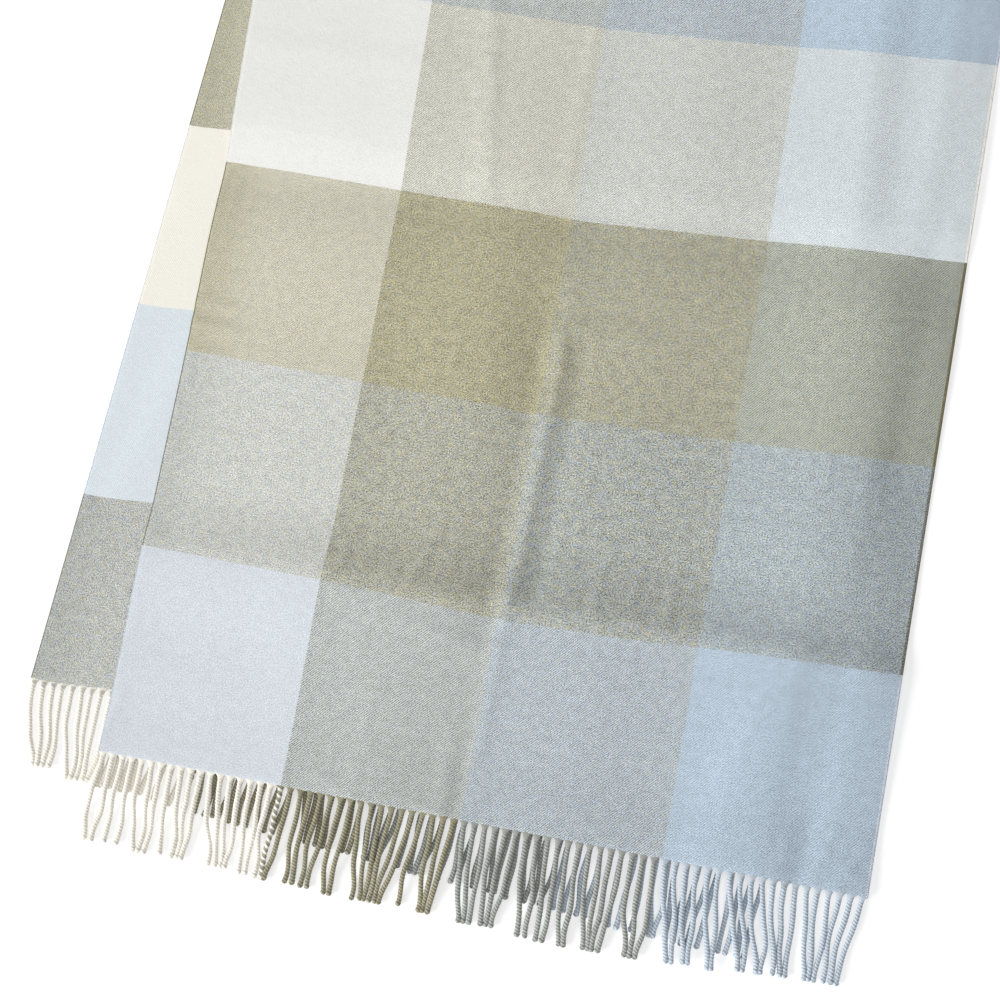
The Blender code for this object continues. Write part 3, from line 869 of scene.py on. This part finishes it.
def yarn_at(nodes, factor, stops):
    """The looks of the yarn at a place, from rows of (start, yarn).

    Grain, flecks and gap are half of what the tables say, and lead is 0.5 more.
    """
    colour, show = nodes.bands(factor, [(at, yarn[0], yarn[5]) for at, yarn in stops])
    look, gap = nodes.bands(factor, [
        (at, (yarn[1] / 2, yarn[2] / 2, yarn[3] + 0.5), yarn[4] / 2) for at, yarn in stops])
    grain, flecks, lead = nodes.split(look)
    return SimpleNamespace(colour=colour, show=show, grain=grain, flecks=flecks, lead=lead,
                           gap=gap)


def twill(nodes, place, across, along):
    """The twill's diagonal: warp on top at 1, weft at -1. Brushing hides it unevenly."""
    end_at = nodes.math("MULTIPLY", across, ENDS)
    pick_at = nodes.math("MULTIPLY", along, PICKS)
    turn = nodes.math("MULTIPLY", nodes.math("SUBTRACT", end_at, pick_at), math.pi / 2)
    patches, _ = nodes.noise(place, *PATCHES)
    brushed = nodes.math("MULTIPLY_ADD", nodes.between(patches, PATCH_FROM, PATCH_TO),
                         PATCH_MORE, PATCH_LEAST)
    return nodes.product(nodes.math("SINE", turn), brushed, TWILL)


def mean_colour(nodes, warp, weft, up, across, share_inside, share_at_selvage):
    """The mean colour, with less of the warp towards the left selvage."""
    inside = nodes.math("MAXIMUM", nodes.between(across, 0.0, EDGE_WEFT), nodes.math(
        "SUBTRACT", 1.0, nodes.between(weft.grain, GRAINY_FROM, GRAINY_TO)))
    share = nodes.math("MULTIPLY_ADD", inside, share_inside - share_at_selvage,
                       share_at_selvage - 1.0)
    share = nodes.math("ADD", share, nodes.math("ADD", warp.lead, weft.lead))
    lean = nodes.math("MULTIPLY_ADD", up, 2 * HUE_LEAN, share)
    return nodes.mix(lean, weft.colour, warp.colour)


def thread_shade(nodes, warp, weft, up):
    """Twill contrast: the yarns' own lightness boosted by painted relief shade, and shaded
    gaps.
    """
    warp_light = nodes.lightness(warp.colour)
    weft_light = nodes.lightness(weft.colour)
    lighter = nodes.math("DIVIDE", nodes.math("SUBTRACT", warp_light, weft_light),
                         nodes.math("ADD", warp_light, weft_light))
    shown = nodes.product(lighter, warp.show, weft.show, LIGHT_LEAN)
    which = nodes.math("MULTIPLY_ADD", lighter, LIGHTER_SHARP, 0.5, clamp=True)
    which = nodes.math("MULTIPLY_ADD", which, 2.0, -1.0)
    gaps = nodes.product(which, warp.gap, weft.gap, 4 * GAP_SHADE)
    return nodes.math("MULTIPLY_ADD", nodes.math("ADD", shown, gaps), up, 1.0)


def wool_grain(nodes, place, warp, weft):
    """Light and dark of the wool's grain, with slower clouds in it."""
    grain, _ = nodes.noise(place, *GRAIN)
    cloud, _ = nodes.noise(place, *CLOUD)
    mottle = nodes.math("MULTIPLY_ADD", nodes.math("SUBTRACT", cloud, 0.5), CLOUD_LEAN,
                        nodes.math("SUBTRACT", grain, 0.5))
    return nodes.product(mottle, nodes.math("ADD", warp.grain, weft.grain), 2.0)


def hue_flecks(nodes, place, warp, weft):
    """Flecks of other hues, to add to the colour."""
    fleck, _ = nodes.noise(nodes.vector("ADD", place, FLECK_AT), *FLECK)
    hue = nodes.product(nodes.math("SUBTRACT", fleck, 0.5),
                        nodes.math("ADD", warp.flecks, weft.flecks), FLECK_LEAN)
    return nodes.scaled(HUE_FLECK, hue)


def painted_edge_shade(nodes, weft, across):
    """Painted shade: the cloth is drawn darker towards the selvages, in all but the smoothest
    wefts.
    """
    right = nodes.between(across, EDGE_SHADE_RIGHT, WIDTH)
    left = nodes.math("SUBTRACT", 1.0, nodes.between(across, 0.0, EDGE_SHADE_LEFT))
    edge_darkening = nodes.math("MULTIPLY_ADD", right, RIGHT_SHADE_DEPTH,
                      nodes.math("MULTIPLY", left, LEFT_SHADE_DEPTH))
    edge_darkening = nodes.math("MULTIPLY", edge_darkening, nodes.between(weft.grain, EDGE_SHADE_GRAIN_FROM, EDGE_SHADE_GRAIN_TO))
    return nodes.math("SUBTRACT", 1.0, edge_darkening)


def with_selvages(nodes, colour, place, across, along, lengthways):
    """A colour, with the turned weft on both selvages, darkened by painted shade of the rounded
    edge.
    """
    turned, _ = nodes.bands(lengthways, [(row * CHECK / LENGTH, weft, 1)
                                         for row, weft in enumerate(SELVAGE_ROWS)])
    ragged, _ = nodes.noise(nodes.combine(0.0, along), *RAGGED)
    edge = nodes.math("ADD", across, nodes.math("MULTIPLY_ADD", ragged, RAG, -RAG / 2))
    at_left = nodes.math("LESS_THAN", edge, SELVAGE_LEFT)
    at_right = nodes.math("GREATER_THAN", edge, WIDTH - SELVAGE_RIGHT)
    knots, _ = nodes.noise(place, *KNOTS)
    # painted shade of the rounded edge, darker still on the left selvage, with knots
    light = nodes.math("MULTIPLY_ADD", at_left, LEFT_DARKER, SELVAGE_SHADE)
    turned = nodes.scaled(turned, nodes.math("MULTIPLY_ADD", knots, KNOT_LEAN, light))
    return nodes.mix(nodes.math("MAXIMUM", at_left, at_right), colour, turned)


def painted_show_through(nodes, colour):
    """Painted light and shade: pale cloth drawn lighter over paler ground and darker over
    darker ground.
    """
    through = nodes.math("MULTIPLY", nodes.math("POWER", nodes.lightness(colour),
                                                THROUGH_POWER), THROUGH)
    ground = nodes.math("SUBTRACT", nodes.value("ground"), 0.5)
    return nodes.math("MULTIPLY_ADD", ground, through, 1.0)


def cloth_material(name, weft_rows, share_inside, share_at_selvage):
    """Brushed 2/2 twill of block checks; the shares are how much of the warp shows."""
    nodes = Nodes(name)
    place = nodes.place("cloth")
    flat_across, _, _ = nodes.split(place)
    _, wander = nodes.noise(place, *WANDER)
    drift = nodes.scaled(nodes.vector("SUBTRACT", wander, HALVES), LUMPY)
    across, along, _ = nodes.split(nodes.vector("ADD", place, drift))
    lengthways = nodes.math("DIVIDE", along, LENGTH)
    warp = yarn_at(nodes, nodes.math("DIVIDE", across, WIDTH),
                   [(yarn[0] / WIDTH, yarn[1:]) for yarn in WARP_YARNS])
    weft = yarn_at(nodes, lengthways,
                   [(row * CHECK / LENGTH, yarn) for row, yarn in enumerate(weft_rows)])
    up = twill(nodes, place, across, along)
    colour = mean_colour(nodes, warp, weft, up, flat_across, share_inside, share_at_selvage)
    colour = nodes.vector("ADD", colour, hue_flecks(nodes, place, warp, weft))
    # shade: the twill's painted relief and gap shade, with the wool's own grain
    shade = nodes.math("ADD", thread_shade(nodes, warp, weft, up),
                       wool_grain(nodes, place, warp, weft))
    shade = nodes.math("MULTIPLY", shade, painted_edge_shade(nodes, weft, flat_across))
    colour = with_selvages(nodes, colour, place, flat_across, along, lengthways)
    seen = nodes.math("MULTIPLY", shade, painted_show_through(nodes, colour))
    nap, _ = nodes.noise(place, *NAP)
    return nodes.wool(nodes.scaled(colour, seen),
                      nodes.math("MULTIPLY_ADD", up, TWILL_HIGH, nap), *NAP_BUMP)


# -------------------------------- the fringes' material
GROOVE_TINT = (1.0, 0.965, 0.86)  # light that has gone from ply to ply
FIBRE_AROUND = 9.0       # fineness of a strand's fibres, round a strand
FIBRE_ALONG = 300.0      # and along it, in a metre
FIBRE_HUE = 1.6
FIBRE_LIGHT = 1.4
FIBRE_BUMP = (0.5, 0.0003)


def fringe_material():
    """Twisted warp yarns, with painted shade in the grooves between them."""
    nodes = Nodes("fringe_yarn")
    across, _, _ = nodes.split(nodes.place("cloth"))
    sideways = nodes.math("DIVIDE", across, WIDTH)
    yarn, _ = nodes.bands(sideways, [(row[0] / WIDTH, row[1], 1) for row in FRINGE_YARNS])
    flecks, groove_shade = nodes.bands(sideways, [(row[0] / WIDTH, (row[2], row[3], 0), row[4])
                                          for row in FRINGE_YARNS])
    around, run, _ = nodes.split(nodes.place("cord"))
    fibre_at = nodes.combine(nodes.math("MULTIPLY", around, FIBRE_AROUND),
                             nodes.math("MULTIPLY", run, FIBRE_ALONG))
    fibre, speck = nodes.noise(fibre_at, 1.0, 1.0)
    hue, light, _ = nodes.split(nodes.vector("SUBTRACT", speck, HALVES))
    hue_amount, light_amount, _ = nodes.split(flecks)
    colour = nodes.vector("ADD", yarn, nodes.scaled(HUE_FLECK, nodes.product(
        hue, hue_amount, FIBRE_HUE)))
    light = nodes.product(light, light_amount, FIBRE_LIGHT)
    # painted shade in the grooves between the plies, from the ply's place round the strand
    wave = nodes.math("MULTIPLY_ADD", nodes.value("ridge"), math.pi, -math.pi / 2)
    high = nodes.math("MULTIPLY_ADD", nodes.math("SINE", wave), 0.5, 0.5)
    groove = nodes.mix(high, nodes.scaled(GROOVE_TINT, groove_shade), (1.0, 1.0, 1.0))
    colour = nodes.scaled(nodes.vector("MULTIPLY", colour, groove),
                          nodes.math("ADD", light, 1.0))
    return nodes.wool(colour, fibre, *FIBRE_BUMP)


# -------------------------------- stage

def make_floor():
    """A plain white floor, lit a little from below as a light table is."""
    bpy.ops.mesh.primitive_plane_add(size=FLOOR_SIZE, location=(0, 0, -FLOOR_BELOW))
    floor = bpy.context.object
    floor.name = "floor"
    nodes = Nodes("floor")
    nodes.fill(nodes.shader, {
        "Base Color": (0.52, 0.52, 0.52, 1), "Roughness": 0.9, "Specular IOR Level": 0.1,
        "Emission Color": (1, 1, 1, 1), "Emission Strength": 0.53})
    floor.data.materials.append(nodes.material)


def make_studio():
    """Soft daylight, low from the left and the fringed end, and from overhead."""
    world = bpy.data.worlds.new("studio")
    world.use_nodes = True
    back = world.node_tree.nodes["Background"]
    back.inputs["Color"].default_value = (1.0, 1.0, 1.0, 1)
    back.inputs["Strength"].default_value = SKY_POWER
    scene = bpy.context.scene
    scene.world = world
    scene.view_settings.view_transform = "Standard"
    for name, source, power, spread in (("key", SUN_FROM, SUN_POWER, SUN_SPREAD),
                                        ("top", TOP_FROM, TOP_POWER, TOP_SPREAD)):
        light = bpy.data.lights.new(name, "SUN")
        light.energy = power
        light.angle = spread
        lamp = bpy.data.objects.new(name, light)
        lamp.location = source * 3
        lamp.rotation_euler = (-source).to_track_quat("-Z", "Y").to_euler()
        scene.collection.objects.link(lamp)


def make_camera():
    """The photograph's view: from above the fringed end, tipped and turned a little."""
    camera = bpy.data.objects.new("camera", bpy.data.cameras.new("camera"))
    camera.data.lens = LENS
    camera.data.sensor_width = SENSOR
    ahead = (CAMERA_AIM - CAMERA_AT).normalized()
    camera.location = CAMERA_AT
    camera.rotation_mode = "QUATERNION"
    camera.rotation_quaternion = Quaternion(ahead, CAMERA_ROLL) @ ahead.to_track_quat("-Z", "Y")
    bpy.context.scene.collection.objects.link(camera)
    bpy.context.scene.camera = camera


# -------------------------------- the stole

def make_stole():
    """Both layers, the turned edge and both fringes."""
    wool = cloth_material("checked_wool", WEFT_ROWS, 0.50, 0.30)
    back = cloth_material("checked_wool_back", BACK_ROWS, 0.25, 0.08)
    yarn = fringe_material()
    upper = upper_sheet(wool)
    under = under_sheet(back)
    fold = fold_sheet(wool)
    upper_fringe = fringe_piece(
        "upper_fringe", UPPER_CLUMPS, upper_point, upper_root_height, upper_strand_height,
        lambda down: 0 * down, yarn)
    under_fringe = fringe_piece(
        "under_fringe", UNDER_CLUMPS, under_hem_point, lambda x, y: WALL / 2 + 0 * x,
        lambda x, y: STRAND_CLEAR + 0 * x, lambda down: LENGTH - ROOT_INSIDE + 0 * down, yarn)
    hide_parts("cloth_upper")
    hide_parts("cloth_under")
    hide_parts("cloth_fold")
    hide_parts("fringe_upper")
    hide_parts("fringe_under")


make_floor()
make_studio()
make_camera()
make_stole()
